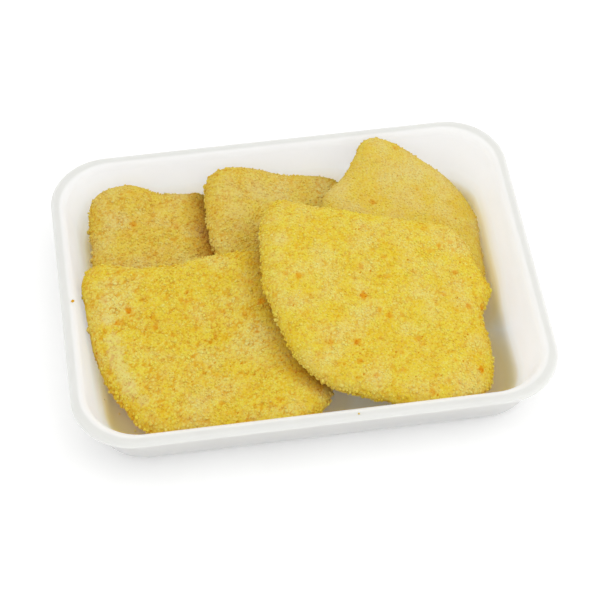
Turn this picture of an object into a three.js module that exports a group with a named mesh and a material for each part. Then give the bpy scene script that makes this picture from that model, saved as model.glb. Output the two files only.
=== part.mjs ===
// Five crumbed schnitzels, lying over one another in a moulded white foam tray.
// Millimetres, +Z up. The origin is the centre of the tray's flat underside, and +X runs along its length.
//
// A schnitzel is a slab with a rounded edge, given by its outline seen from above. How it lies follows from
// what is under it: the slabs are laid down in the order in which they are stacked, and each one bridges
// hollows like a plank and bends a little over ridges, above the tray and the slabs already laid.
import * as THREE from "three";
import { ImprovedNoise } from "three/addons/math/ImprovedNoise.js";

// ---------------------------------------------------------------- driving dimensions

const tray = {
  length: 225,
  width: 175,
  height: 30,
  rimCornerRadius: 28.5, // of the rim's outer edge, seen from above
  cornerTaper: 0.5, // the corner radius lost for each millimetre further in
  foam: 3.5, // thickness of the floor
  lipThickness: 3.1, // of the rim that stands out round the top
  lipReach: 3.6, // how far that rim stands out from the wall
  lipEdge: 1.5, // radius of the rim's outer edge, above and below
  lipBore: 4, // radius over the rim's inner edge
  lipWidth: 7.7, // from the rim's outer edge to the top of the inner wall
  baseInset: 17.7, // from the rim's outer edge to the flat underside
  baseFillet: 8,
  floorInset: 21, // from the rim's outer edge to the flat floor
  floorFillet: 9,
};

const slabs = {
  bendRadius: 90, // a slab bends over a ridge no tighter than this
  hollowRadius: 300, // and into a hollow no tighter than this
  border: 12, // width over which a slab thins out to its rounded edge
  clearance: 0.5, // upright gap left where a slab lies on something
  wallClearance: 0.4, // sideways gap left to the tray's sloping wall
};

// Unevenness of the crust: how far from one bump to the next, and how high the bumps stand.
const crust = {
  lumps: { size: 15, height: 0.7 },
  crags: { size: 8, height: 0.5 },
  raggedEdge: { size: 9, height: 0.9 },
};

const cornerSteps = 9; // facets in each quarter turn of the tray
const filletSteps = 4; // facets in each rounded edge of the tray's section
const slabSegments = 88; // facets round a slab's edge
const upperRings = [0.1, 0.2, 0.3, 0.4, 0.5, 0.59, 0.68, 0.76, 0.83, 0.89, 0.94, 0.975]; // shares of its size
const lowerRings = [0.2, 0.4, 0.58, 0.72, 0.84, 0.93, 0.975];
const gridStep = 3; // spacing of the points at which a slab's height is worked out
const steepestTilt = 0.5; // the tilts tried for a slab, as rise over run
const tiltStep = 0.05;

const foam = { color: 0xf0f0ec, roughness: 0.5, metalness: 0 };
const duskyCrumbs = { color: 0xd9b656, roughness: 0.9, metalness: 0 };
const brightCrumbs = { color: 0xe5c44d, roughness: 0.9, metalness: 0 };

// In the order in which they were laid down. Outlines are [x, y] points, joined by a smooth closed curve.
const schnitzels = [
  {
    name: "schnitzel_back_left",
    finish: duskyCrumbs,
    thickness: 10.5,
    outline: [
      [-94, 10], [-66, 0], [-40, 4], [-30, 26], [-31, 48], [-38, 73], [-48.5, 71.5], [-58.5, 71],
      [-66.5, 75], [-75.5, 76.5], [-86, 75.5], [-92, 71.5], [-94.5, 63], [-95.5, 43.5],
    ],
  },
  {
    name: "schnitzel_back_middle",
    finish: duskyCrumbs,
    thickness: 10.5,
    outline: [
      [-30, 10], [0, -2], [34, 4], [50, 26], [44, 48], [29, 72.5], [16, 74], [4.5, 73.5], [-7, 76],
      [-19.5, 78], [-29.5, 77], [-35.5, 73], [-37.5, 62.5], [-38, 47.5], [-37.5, 29.5],
    ],
  },
  {
    name: "schnitzel_front_left",
    finish: brightCrumbs,
    thickness: 11.5,
    outline: [
      [-80.5, -65.5], [-30, -74.5], [-4, -73], [6, -63], [13, -30], [6, 4], [-15.5, 20],
      [-27, 20.5], [-38.5, 20.5], [-51.5, 19], [-65.5, 19], [-79, 20.5], [-90, 23.5], [-98, 23],
      [-102.5, 15.5], [-101.5, 0.5], [-101, -19.5], [-95, -40], [-86, -58],
    ],
  },
  {
    name: "schnitzel_back_right",
    finish: duskyCrumbs,
    thickness: 10.5,
    outline: [
      [26, 10], [54, -12], [80, -18], [93, 3], [93.5, 18.5], [95, 40], [90.5, 53], [81, 64.5],
      [69, 72], [58.5, 78], [50.5, 80.5], [43, 78], [38, 69.5], [31, 60], [17.5, 45],
    ],
  },
  {
    name: "schnitzel_front_right",
    finish: brightCrumbs,
    thickness: 11.5,
    outline: [
      [40, -74.5], [66, -75], [81.5, -66.5], [84.5, -58.5], [86, -43.5], [85, -27], [92, -13],
      [88.5, -4], [84, 11.5], [77, 21.5], [63.5, 24.5], [44, 27], [28, 31.5], [12.5, 35.5],
      [1.5, 41], [-8.5, 42], [-13, 32.5], [-16.5, 12.5], [-17.5, -8.5], [-13, -29], [-6.5, -49],
      [7, -62.5], [21, -68],
    ],
  },
];

// ---------------------------------------------------------------- closed meshes from rings of points

// A closed skin over rings of points. The first and the last ring are single points. Two rings next to each
// other may have different numbers of points, and each new triangle goes where the ring lags behind.
function skinOverRings(name, finish, rings) {
  const faces = [];
  let start = 0;
  for (let ring = 0; ring + 1 < rings.length; ring++) {
    const [lower, upper] = [rings[ring].length, rings[ring + 1].length];
    const onLower = (step) => start + (step % lower);
    const onUpper = (step) => start + lower + (step % upper);
    let [i, j] = [lower === 1 ? 1 : 0, upper === 1 ? 1 : 0];
    while (i < lower || j < upper) {
      if (j === upper || (i < lower && (i + 1) / lower <= (j + 1) / upper)) {
        faces.push(onLower(i), onLower(i + 1), onUpper(j));
        i += 1;
      } else {
        faces.push(onLower(i), onUpper(j + 1), onUpper(j));
        j += 1;
      }
    }
    start += lower;
  }
  const geometry = new THREE.BufferGeometry().setFromPoints(rings.flat());
  geometry.setIndex(faces);
  geometry.computeVertexNormals();
  const mesh = new THREE.Mesh(geometry, new THREE.MeshStandardMaterial(finish));
  mesh.name = name;
  return mesh;
}

// ---------------------------------------------------------------- the foam tray

// The inset of a straight wall at any height. It passes through a point and touches a circle on its low side.
function wallThrough(top, centre, radius) {
  const toCentre = centre.clone().sub(top);
  const angle = toCentre.angle() - Math.asin(radius / toCentre.length());
  return (z) => top.x + (z - top.y) / Math.tan(angle);
}

// The arc that rounds the corner where the line from one point turns off towards another.
function roundedCorner(before, corner, after, radius) {
  const backwards = before.clone().sub(corner).normalize();
  const onwards = after.clone().sub(corner).normalize();
  const halfAngle = Math.acos(backwards.dot(onwards)) / 2;
  const reach = radius / Math.tan(halfAngle);
  const middle = backwards.clone().add(onwards).normalize();
  const centre = corner.clone().addScaledVector(middle, radius / Math.sin(halfAngle));
  const start = corner.clone().addScaledVector(backwards, reach).sub(centre);
  const end = corner.clone().addScaledVector(onwards, reach).sub(centre);
  const turn = Math.atan2(start.cross(end), start.dot(end));
  const points = [];
  for (let step = 0; step <= filletSteps; step++) {
    points.push(start.clone().rotateAround(new THREE.Vector2(), (turn * step) / filletSteps).add(centre));
  }
  return points;
}

// The tray's section as (inset, z) points: the outside from the underside up to and over the rim's outer
// edge, and the inside from the rim's inner edge down to the floor.
function traySection() {
  const at = (inset, z) => new THREE.Vector2(inset, z);
  const [top, middle] = [tray.height, tray.width / 2];
  const lipBottom = top - tray.lipThickness;
  const lipRoot = at(tray.lipReach, lipBottom);
  const outerWall = wallThrough(lipRoot, at(tray.baseInset, tray.baseFillet), tray.baseFillet);
  const innerWall = wallThrough(
    at(tray.lipWidth, top - tray.lipBore),
    at(tray.floorInset, tray.foam + tray.floorFillet),
    tray.floorFillet,
  );
  const outerHeel = at(outerWall(0), 0);
  const [lipLow, lipHigh] = [at(0, lipBottom), at(0, top)];
  const [innerTop, innerHeel] = [at(innerWall(top), top), at(innerWall(tray.foam), tray.foam)];
  return {
    outside: [
      ...roundedCorner(at(middle, 0), outerHeel, lipRoot, tray.baseFillet),
      lipRoot,
      ...roundedCorner(lipRoot, lipLow, lipHigh, tray.lipEdge),
      ...roundedCorner(lipLow, lipHigh, innerTop, tray.lipEdge),
    ],
    inside: [
      ...roundedCorner(lipHigh, innerTop, innerHeel, tray.lipBore),
      ...roundedCorner(innerTop, innerHeel, at(middle, tray.foam), tray.floorFillet),
    ],
  };
}

// Seen from above, each level of the tray is a rectangle with round corners, set in from the rim's edge.
function trayLevel(inset) {
  const radius = tray.rimCornerRadius - tray.cornerTaper * inset;
  return { radius, x: tray.length / 2 - inset - radius, y: tray.width / 2 - inset - radius };
}

function trayRing({ x: inset, y: z }) {
  const level = trayLevel(inset);
  const ring = [];
  for (const [signX, signY, quarter] of [[1, -1, 3], [1, 1, 0], [-1, 1, 1], [-1, -1, 2]]) {
    for (let step = 0; step <= cornerSteps; step++) {
      const angle = ((quarter + step / cornerSteps) * Math.PI) / 2;
      const x = signX * level.x + level.radius * Math.cos(angle);
      const y = signY * level.y + level.radius * Math.sin(angle);
      ring.push(new THREE.Vector3(x, y, z));
    }
  }
  return ring;
}

const section = traySection();

function makeTray() {
  const rings = [...section.outside, ...section.inside].map(trayRing);
  const [bottom, floor] = [new THREE.Vector3(0, 0, 0), new THREE.Vector3(0, 0, tray.foam)];
  return skinOverRings("foam_tray", foam, [[bottom], ...rings, [floor]]);
}

// Whether a point, seen from above, is within the level of the tray at an inset.
function isWithinLevel(x, y, inset) {
  const level = trayLevel(inset);
  const beyondX = Math.max(Math.abs(x) - level.x, 0);
  const beyondY = Math.max(Math.abs(y) - level.y, 0);
  return Math.hypot(beyondX, beyondY) <= level.radius;
}

// Height of the tray's inside at a point, with its wall moved in by the wall clearance.
function trayInside(x, y) {
  if (isWithinLevel(x, y, tray.floorInset)) return tray.foam;
  let [outer, inner] = [0, tray.floorInset];
  for (let step = 0; step < 16; step++) {
    const between = (outer + inner) / 2;
    if (isWithinLevel(x, y, between)) outer = between;
    else inner = between;
  }
  const inset = outer - slabs.wallClearance;
  const next = section.inside.findIndex((p) => p.x > inset);
  if (next === 0) return tray.height;
  if (next < 0) return tray.foam;
  const [high, low] = [section.inside[next - 1], section.inside[next]];
  return THREE.MathUtils.mapLinear(inset, high.x, low.x, high.y, low.y);
}

// ---------------------------------------------------------------- the shape of one slab

const noise = new ImprovedNoise();

function bumps({ size, height }, x, y, layer) {
  return height * noise.noise(x / size, y / size, layer + 0.5);
}

// A slab before it is laid down: its edge as a ring of points, and its middle.
function shapeSlab(schnitzel, index) {
  const corners = schnitzel.outline.map(([x, y]) => new THREE.Vector3(x, y, 0));
  const curve = new THREE.CatmullRomCurve3(corners, true, "centripetal");
  const edge = curve.getSpacedPoints(slabSegments).slice(0, slabSegments);
  const middle = edge.reduce((sum, p) => sum.add(p), new THREE.Vector3()).divideScalar(slabSegments);
  for (const p of edge) {
    const outwards = p.clone().sub(middle).normalize();
    p.addScaledVector(outwards, bumps(crust.raggedEdge, p.x, p.y, 10 * index));
  }
  return { ...schnitzel, layer: 10 * index, edge, middle, centre: () => 0 };
}

// The point that lies a share of the way from the slab's middle to a point of its edge.
function partWay(slab, edgePoint, share) {
  return new THREE.Vector2(
    THREE.MathUtils.lerp(slab.middle.x, edgePoint.x, share),
    THREE.MathUtils.lerp(slab.middle.y, edgePoint.y, share),
  );
}

// How far a point is from the slab's edge, measured on the line from the middle, or null outside the slab.
function depthInside(slab, x, y) {
  const [dx, dy] = [x - slab.middle.x, y - slab.middle.y];
  const distance = Math.hypot(dx, dy);
  if (distance < 1e-6) return slab.edge[0].distanceTo(slab.middle);
  for (let i = 0; i < slabSegments; i++) {
    const a = slab.edge[i].clone().sub(slab.middle);
    const b = slab.edge[(i + 1) % slabSegments].clone().sub(slab.middle);
    const [beforeB, afterA] = [dx * b.y - dy * b.x, a.x * dy - a.y * dx];
    if (beforeB < -1e-9 || afterA < -1e-9) continue;
    const share = (beforeB + afterA) / (a.x * b.y - a.y * b.x);
    return share > 1 ? null : (distance * (1 - share)) / share;
  }
  return null;
}

// Heights of the slab's two faces at a point, or null outside it. The border is a stretched half round.
function facesAt(slab, x, y) {
  const depth = depthInside(slab, x, y);
  if (depth === null) return null;
  const left = Math.max(0, 1 - depth / slabs.border);
  const fullness = Math.sqrt(1 - left * left);
  const relief = (layer) => bumps(crust.lumps, x, y, layer) + bumps(crust.crags, x, y, layer + 1);
  const half = slab.thickness / 2;
  const centre = slab.centre(x, y);
  return {
    top: centre + fullness * (half + relief(slab.layer + 2)),
    bottom: centre - fullness * (half + relief(slab.layer + 5)),
  };
}

// ---------------------------------------------------------------- laying a slab down

// Points all over the slab, each with the lowest height that the slab's middle surface may have there.
// They are measured from the slab's middle.
function findContacts(slab, laid) {
  const contacts = [];
  const tryPoint = (x, y) => {
    const faces = facesAt(slab, x, y);
    if (faces === null) return;
    const under = laid.map((other) => facesAt(other, x, y)).filter((f) => f !== null);
    const support = Math.max(trayInside(x, y), ...under.map((f) => f.top));
    const height = support + slabs.clearance - faces.bottom;
    contacts.push(new THREE.Vector3(x - slab.middle.x, y - slab.middle.y, height));
  };
  for (let x = -tray.length / 2; x <= tray.length / 2; x += gridStep) {
    for (let y = -tray.width / 2; y <= tray.width / 2; y += gridStep) tryPoint(x, y);
  }
  for (const share of [0.9, 0.97, 0.999]) {
    for (const p of slab.edge) tryPoint(...partWay(slab, p, share));
  }
  return contacts;
}

// The lowest gently dished surface that clears every contact. Like a plank, it bridges hollows.
function bridgeHollows(contacts) {
  const dish = (p) => (p.x * p.x + p.y * p.y) / (2 * slabs.hollowRadius);
  const sheets = [];
  for (let tiltX = -steepestTilt; tiltX <= steepestTilt; tiltX += tiltStep) {
    for (let tiltY = -steepestTilt; tiltY <= steepestTilt; tiltY += tiltStep) {
      const clears = (p) => p.z - dish(p) - tiltX * p.x - tiltY * p.y;
      const height = contacts.reduce((most, p) => Math.max(most, clears(p)), -Infinity);
      sheets.push({ tiltX, tiltY, height });
    }
  }
  const lowest = (p) =>
    sheets.reduce((least, s) => Math.min(least, s.height + s.tiltX * p.x + s.tiltY * p.y), Infinity);
  return contacts.map((p) => new THREE.Vector3(p.x, p.y, lowest(p) + dish(p)));
}

// The mean slope of a set of points, along x and along y.
function meanTilt(points) {
  const mean = (value) => points.reduce((sum, p) => sum + value(p), 0) / points.length;
  const [x, y, z] = [mean((p) => p.x), mean((p) => p.y), mean((p) => p.z)];
  const xx = mean((p) => (p.x - x) ** 2);
  const yy = mean((p) => (p.y - y) ** 2);
  const xy = mean((p) => (p.x - x) * (p.y - y));
  const xz = mean((p) => (p.x - x) * (p.z - z));
  const yz = mean((p) => (p.y - y) * (p.z - z));
  const scale = xx * yy - xy * xy;
  return new THREE.Vector2((xz * yy - yz * xy) / scale, (yz * xx - xz * xy) / scale);
}

// Rounds the ridges of a surface: no point of it hangs below a wide bowl turned over any other point.
function roundRidges(points) {
  const tilt = meanTilt(points);
  const level = points.map((p) => new THREE.Vector3(p.x, p.y, p.z - tilt.dot(p)));
  const fall = (p, q) => ((p.x - q.x) ** 2 + (p.y - q.y) ** 2) / (2 * slabs.bendRadius);
  return (p) => tilt.dot(p) + level.reduce((most, q) => Math.max(most, q.z - fall(p, q)), -Infinity);
}

// A function of x and y, worked out once on a grid over the tray and read off between its points.
function onGrid(heightAt) {
  const columns = Math.ceil(tray.length / gridStep) + 1;
  const rows = Math.ceil(tray.width / gridStep) + 1;
  const heights = [];
  for (let row = 0; row < rows; row++) {
    for (let column = 0; column < columns; column++) {
      heights.push(heightAt(column * gridStep - tray.length / 2, row * gridStep - tray.width / 2));
    }
  }
  return (x, y) => {
    const [u, v] = [(x + tray.length / 2) / gridStep, (y + tray.width / 2) / gridStep];
    const [column, row] = [Math.floor(u), Math.floor(v)];
    const along = (r) => {
      const start = r * columns + column;
      return THREE.MathUtils.lerp(heights[start], heights[start + 1], u - column);
    };
    return THREE.MathUtils.lerp(along(row), along(row + 1), v - row);
  };
}

function layDown(slab, laid) {
  const surface = roundRidges(bridgeHollows(findContacts(slab, laid)));
  slab.centre = onGrid((x, y) => surface(new THREE.Vector2(x - slab.middle.x, y - slab.middle.y)));
  return slab;
}

// ---------------------------------------------------------------- a laid slab as a solid

// The slab's edge drawn in to a share of its size, with points about as far apart as on the edge itself.
function innerRing(slab, share) {
  const count = Math.round(slabSegments * share);
  const ring = [];
  for (let step = 0; step < count; step++) {
    const along = (step * slabSegments) / count;
    const [before, after] = [slab.edge[Math.floor(along)], slab.edge[Math.ceil(along) % slabSegments]];
    ring.push(partWay(slab, before.clone().lerp(after, along % 1), share));
  }
  return ring;
}

function makeSchnitzel(slab) {
  const onFace = ({ x, y }, side) => new THREE.Vector3(x, y, facesAt(slab, x, y)[side]);
  const ring = (share, side) => innerRing(slab, share).map((p) => onFace(p, side));
  const rim = slab.edge.map((p) => new THREE.Vector3(p.x, p.y, slab.centre(p.x, p.y)));
  const rings = [
    [onFace(slab.middle, "bottom")],
    ...lowerRings.map((share) => ring(share, "bottom")),
    rim,
    ...upperRings.map((share) => ring(share, "top")).reverse(),
    [onFace(slab.middle, "top")],
  ];
  return skinOverRings(slab.name, slab.finish, rings);
}

const laid = [];
schnitzels.forEach((schnitzel, index) => laid.push(layDown(shapeSlab(schnitzel, index), laid)));

const part = new THREE.Group();
part.add(makeTray(), ...laid.map(makeSchnitzel));

export default part;
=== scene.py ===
# %% [markdown]
# # Crumbed schnitzels in a foam tray
#
# Flat cutlets of meat in a crust of fine breadcrumbs lie over one another in a white foam tray, as a butcher
# packs them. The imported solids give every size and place. What the solids can't carry is made here: the
# softly rounded skin of the tray, the granular crust, and some seventeen thousand crumbs.

# %% Load the solids as a fixed frame
import math
import random

import bmesh
import bpy
from mathutils import Matrix, Vector
from mathutils.bvhtree import BVHTree


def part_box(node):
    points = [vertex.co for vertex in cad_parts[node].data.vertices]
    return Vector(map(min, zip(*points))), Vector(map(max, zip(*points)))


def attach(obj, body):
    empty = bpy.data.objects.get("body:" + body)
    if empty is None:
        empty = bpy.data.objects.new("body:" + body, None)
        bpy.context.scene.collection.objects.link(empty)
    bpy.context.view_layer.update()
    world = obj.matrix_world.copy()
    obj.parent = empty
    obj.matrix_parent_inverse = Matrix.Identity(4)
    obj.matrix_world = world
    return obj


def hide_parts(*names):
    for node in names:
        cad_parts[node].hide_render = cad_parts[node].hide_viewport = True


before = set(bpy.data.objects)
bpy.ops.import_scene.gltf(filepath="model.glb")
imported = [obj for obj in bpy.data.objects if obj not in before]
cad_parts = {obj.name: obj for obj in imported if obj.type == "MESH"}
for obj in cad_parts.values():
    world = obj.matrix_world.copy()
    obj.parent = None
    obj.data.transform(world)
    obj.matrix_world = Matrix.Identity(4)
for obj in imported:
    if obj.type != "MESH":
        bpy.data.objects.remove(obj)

MM = 0.001
UP = Vector((0, 0, 1))
scene = bpy.context.scene
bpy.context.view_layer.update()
print("solids:", ", ".join(sorted(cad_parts)))


# %% [markdown]
# ## Helpers
#
# Colours are written the way a paint chart or a browser gives them, as sRGB hex values. Blender calculates
# with linear light, so one function turns one into the other. A second one adds a node to a tree, sets it and
# links it, and serves for materials and for Geometry Nodes alike. The rest are built on these two.

# %% Colours and nodes
def linear(hex_colour):
    """A linear RGBA colour from an sRGB hex value such as "f2efe6"."""
    channels = [int(hex_colour[i : i + 2], 16) / 255 for i in (0, 2, 4)]
    return [c / 12.92 if c <= 0.04045 else ((c + 0.055) / 1.055) ** 2.4 for c in channels] + [1.0]


def add(tree, kind, inputs=None, **settings):
    """A new node in a tree. Inputs go by name or number, and hold a value or the socket to link."""
    node = tree.nodes.new(kind)
    for name, value in settings.items():
        setattr(node, name, value)
    for key, value in (inputs or {}).items():
        if isinstance(value, bpy.types.NodeSocket):
            tree.links.new(value, node.inputs[key])
        else:
            node.inputs[key].default_value = value
    return node


def maths(tree, operation, *values):
    """The result socket of one Math node."""
    return add(tree, "ShaderNodeMath", dict(enumerate(values)), operation=operation).outputs[0]


def times(tree, first, second):
    return maths(tree, "MULTIPLY", first, second)


def vectors(tree, operation, first, second):
    """The result socket of one Vector Math node, a vector or, for a distance or a product, one number."""
    node = add(tree, "ShaderNodeVectorMath", {0: first, 1: second}, operation=operation)
    return node.outputs["Value" if operation in ("DISTANCE", "DOT_PRODUCT") else "Vector"]


def scaled(tree, vector, factor):
    return add(tree, "ShaderNodeVectorMath", {0: vector, "Scale": factor}, operation="SCALE").outputs[0]


def scale_of(tree, size):
    """The scale at which a texture's blotches are one size wide. The size is a number or a socket."""
    return maths(tree, "DIVIDE", 1, size) if isinstance(size, bpy.types.NodeSocket) else 1 / size


def noise(tree, place, size, detail=2.0):
    """Soft noise from 0 to 1."""
    inputs = {"Vector": place, "Scale": scale_of(tree, size), "Detail": detail}
    return add(tree, "ShaderNodeTexNoise", inputs).outputs[0]


def cells(tree, place, size, **settings):
    """The outputs of a Voronoi texture, such as each cell's Color and the Distance from its middle."""
    inputs = {"Vector": place, "Scale": scale_of(tree, size)}
    return add(tree, "ShaderNodeTexVoronoi", inputs, **settings).outputs


def spread(tree, value, low, high, to_low=0.0, to_high=1.0):
    """A value read off between two limits and laid out over two others."""
    inputs = {"Value": value, "From Min": low, "From Max": high, "To Min": to_low, "To Max": to_high}
    return add(tree, "ShaderNodeMapRange", inputs).outputs["Result"]


def blend_colours(tree, share, first, second):
    """Two colours mixed by a share, which is a number or a socket."""
    mix = add(tree, "ShaderNodeMix", {0: share}, data_type="RGBA")
    for socket, colour in ((mix.inputs[6], first), (mix.inputs[7], second)):
        if isinstance(colour, bpy.types.NodeSocket):
            tree.links.new(colour, socket)
        else:
            socket.default_value = linear(colour)
    return mix.outputs[2]


def attribute(tree, name):
    """What Geometry Nodes or a loop has kept on the mesh under a name, for a material to read."""
    return add(tree, "ShaderNodeAttribute", attribute_name=name).outputs["Fac"]


def bump(tree, height, strength, distance):
    """Makes the shader's surface uneven."""
    node = add(tree, "ShaderNodeBump", {"Height": height, "Strength": strength, "Distance": distance})
    tree.links.new(node.outputs[0], tree.nodes["Principled BSDF"].inputs["Normal"])


def new_material(name):
    """A material, its tree, its shader, and the place on the object that its textures go by."""
    material = bpy.data.materials.new(name)
    material.use_nodes = True
    tree = material.node_tree
    return material, tree, tree.nodes["Principled BSDF"], add(tree, "ShaderNodeTexCoord").outputs["Object"]


def new_object(name, data):
    thing = bpy.data.objects.new(name, data)
    scene.collection.objects.link(thing)
    return thing


# %% [markdown]
# ## Camera
#
# The tray is seen from above and in front, a little from the left, through a long lens, so its sides hardly
# run together. The camera hangs on a ball round a point of the table: two angles and a distance place it, and
# its three axes are the columns of its rotation.

# %% Camera
CAMERA_ROUND = math.radians(-8.04)
CAMERA_UP = math.radians(51.47)
CAMERA_ROLL = math.radians(-0.3)
CAMERA_DISTANCE = 1070.2 * MM
CAMERA_AIM = Vector((2.2, 7.6, 0)) * MM
LENS_PER_SENSOR = 3.666  # focal length for each millimetre of the sensor's width


def make_camera():
    across = math.cos(CAMERA_UP)
    back = Vector((math.sin(CAMERA_ROUND) * across, -math.cos(CAMERA_ROUND) * across, math.sin(CAMERA_UP)))
    right = Vector((math.cos(CAMERA_ROUND), math.sin(CAMERA_ROUND), 0))
    turn = Matrix.Rotation(CAMERA_ROLL, 3, back)
    right, up = turn @ right, turn @ back.cross(right)
    data = bpy.data.cameras.new("camera")
    data.lens = LENS_PER_SENSOR * data.sensor_width
    camera = new_object("camera", data)
    rotation = Matrix((right, up, back)).transposed().to_4x4()
    camera.matrix_world = Matrix.Translation(CAMERA_AIM + back * CAMERA_DISTANCE) @ rotation
    scene.camera = camera
    print(f"camera {CAMERA_DISTANCE:.2f} m away, {data.lens:.0f} mm lens")


make_camera()


# %% [markdown]
# ## Studio
#
# A plain white table and plain soft light, as food for a shop page is lit. A bright even sky does most of it.
# A wide panel overhead lifts what lies flat, and one on the right draws a soft shadow to the left of each
# cutlet. The table glows a little, as a light table does, and stays white where the tray shades it. The
# Standard view keeps the yellow of the crumb as it is, where a film-like view would grey it.

# %% Studio
SKY_STRENGTH = 0.84
TABLE_GLOW = 0.14
TABLE_HALF = 1.5  # metres from the middle to an edge
TABLE_MOTTLE = 40 * MM
PANEL_DISTANCE, PANEL_WIDTH = 1.6, 1.2
PANELS = {  # degrees round from the back and up from the table, then watts
    "overhead": (0, 90, 3.4),
    "right": (104, 38, 4.0),
}


def make_studio():
    scene.view_settings.view_transform = "Standard"
    world = bpy.data.worlds.new("soft sky")
    world.use_nodes = True
    background = world.node_tree.nodes["Background"]
    background.inputs["Color"].default_value = linear("ffffff")
    background.inputs["Strength"].default_value = SKY_STRENGTH
    scene.world = world
    for name, (round_from_back, up, watts) in PANELS.items():
        turn, rise = math.radians(round_from_back), math.radians(up)
        towards = Vector((math.sin(turn) * math.cos(rise), math.cos(turn) * math.cos(rise), math.sin(rise)))
        data = bpy.data.lights.new(name + " panel", "AREA")
        data.size = PANEL_WIDTH
        data.energy = watts
        facing = towards.to_track_quat("Z", "Y").to_matrix().to_4x4()
        panel = new_object(name + " panel", data)
        panel.matrix_world = Matrix.Translation(towards * PANEL_DISTANCE) @ facing


def table_material():
    material, tree, shader, place = new_material("backlit white acrylic")
    colour = blend_colours(tree, noise(tree, place, TABLE_MOTTLE), "fbfbfa", "ffffff")
    tree.links.new(colour, shader.inputs["Base Color"])
    shader.inputs["Roughness"].default_value = 0.6
    shader.inputs["Emission Color"].default_value = linear("ffffff")
    shader.inputs["Emission Strength"].default_value = TABLE_GLOW
    return material


def make_table():
    mesh = bpy.data.meshes.new("table")
    corners = [(x * TABLE_HALF, y * TABLE_HALF, 0) for x, y in ((-1, -1), (1, -1), (1, 1), (-1, 1))]
    mesh.from_pydata(corners, [], [(0, 1, 2, 3)])
    mesh.materials.append(table_material())
    new_object("table", mesh)


make_studio()
make_table()


# %% [markdown]
# ## The foam tray
#
# The tray is pressed from a warm sheet of polystyrene foam, so every edge of it is soft: the rim rolls over,
# the walls lean out and run into the floor in one curve. The solid has this form in flat facets. Here the
# same section, with the same named sizes in millimetres, goes round in fine steps, so light runs over it
# smoothly. A bevel on a simple box could round the edges too, but not by a different radius on each.

# %% The tray's sizes
TRAY_LENGTH, TRAY_WIDTH, TRAY_HEIGHT = (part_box("foam_tray")[1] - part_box("foam_tray")[0]) / MM
RIM_CORNER_RADIUS = 28.5  # of the rim's outer edge, seen from above
CORNER_TAPER = 0.5  # the corner radius lost for each millimetre further in
FOAM_THICKNESS = 3.5
LIP_THICKNESS = 3.1
LIP_REACH = 3.6  # how far the rim stands out from the wall
LIP_EDGE = 1.5  # radius of the rim's outer edge
LIP_BORE = 4  # radius over the rim's inner edge
LIP_WIDTH = 7.7
BASE_INSET, BASE_FILLET = 17.7, 8
FLOOR_INSET, FLOOR_FILLET = 21, 9
FLOOR_LEFT = 8  # half the width of the last flat piece in the middle of the floor
FILLET_STEPS = 10
CORNER_STEPS = 24
FACE_STEP = 4  # longest step down the inner wall and over the floor


def wall_through(top, centre, radius):
    """The inset of a straight wall at a height. The wall passes through top and touches a circle."""
    to_centre = centre - top
    angle = math.atan2(to_centre.y, to_centre.x) - math.asin(radius / to_centre.length)
    return lambda z: top.x + (z - top.y) / math.tan(angle)


def rounded_corner(before, corner, after, radius):
    """Points of the arc that rounds the corner where the line from one point turns to another."""
    backwards, onwards = (before - corner).normalized(), (after - corner).normalized()
    half_angle = math.acos(backwards.dot(onwards)) / 2
    centre = corner + (backwards + onwards).normalized() * radius / math.sin(half_angle)
    start = corner + backwards * radius / math.tan(half_angle) - centre
    end = corner + onwards * radius / math.tan(half_angle) - centre
    turn = math.atan2(start.x * end.y - start.y * end.x, start.dot(end))
    steps = [turn * step / FILLET_STEPS for step in range(FILLET_STEPS + 1)]
    return [centre + Matrix.Rotation(angle, 2) @ start for angle in steps]


def in_steps(start, end):
    """Points on the line from one point to another, without the first."""
    count = math.ceil((end - start).length / FACE_STEP)
    return [start.lerp(end, step / count) for step in range(1, count + 1)]


def tray_section():
    """(inset, z) points, from the underside round the rim to the floor inside, in millimetres."""
    middle = TRAY_WIDTH / 2
    lip_bottom = TRAY_HEIGHT - LIP_THICKNESS
    lip_root = Vector((LIP_REACH, lip_bottom))
    outer = wall_through(lip_root, Vector((BASE_INSET, BASE_FILLET)), BASE_FILLET)
    bend_centre = Vector((FLOOR_INSET, FOAM_THICKNESS + FLOOR_FILLET))
    inner = wall_through(Vector((LIP_WIDTH, TRAY_HEIGHT - LIP_BORE)), bend_centre, FLOOR_FILLET)
    low, high = Vector((0, lip_bottom)), Vector((0, TRAY_HEIGHT))
    inner_top = Vector((inner(TRAY_HEIGHT), TRAY_HEIGHT))
    inner_heel = Vector((inner(FOAM_THICKNESS), FOAM_THICKNESS))
    bore = rounded_corner(high, inner_top, inner_heel, LIP_BORE)
    floor_bend = rounded_corner(inner_top, inner_heel, Vector((middle, FOAM_THICKNESS)), FLOOR_FILLET)
    return (
        rounded_corner(Vector((middle, 0)), Vector((outer(0), 0)), lip_root, BASE_FILLET)
        + [lip_root]
        + rounded_corner(lip_root, low, high, LIP_EDGE)
        + rounded_corner(low, high, inner_top, LIP_EDGE)
        + bore
        + in_steps(bore[-1], floor_bend[0])[:-1]
        + floor_bend
        + in_steps(floor_bend[-1], Vector((middle - FLOOR_LEFT, FOAM_THICKNESS)))
    )


# %% [markdown]
# Each point of the section becomes a level ring, a rectangle with round corners. The corners take most of the
# points, and each straight side gets a few more, so that no face is long and thin.

# %% The tray's mesh
SIDE_STEPS = 36
SMALLEST_CORNER = 2
BOUNCE_REACH_LOW, BOUNCE_REACH_HIGH = 30, 20  # how far from food the foam gets painted bounce light and shade, on the floor and high up
BOUNCE_TOP = 29  # the height where that painted light ends, in millimetres like all the tray's sizes


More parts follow.
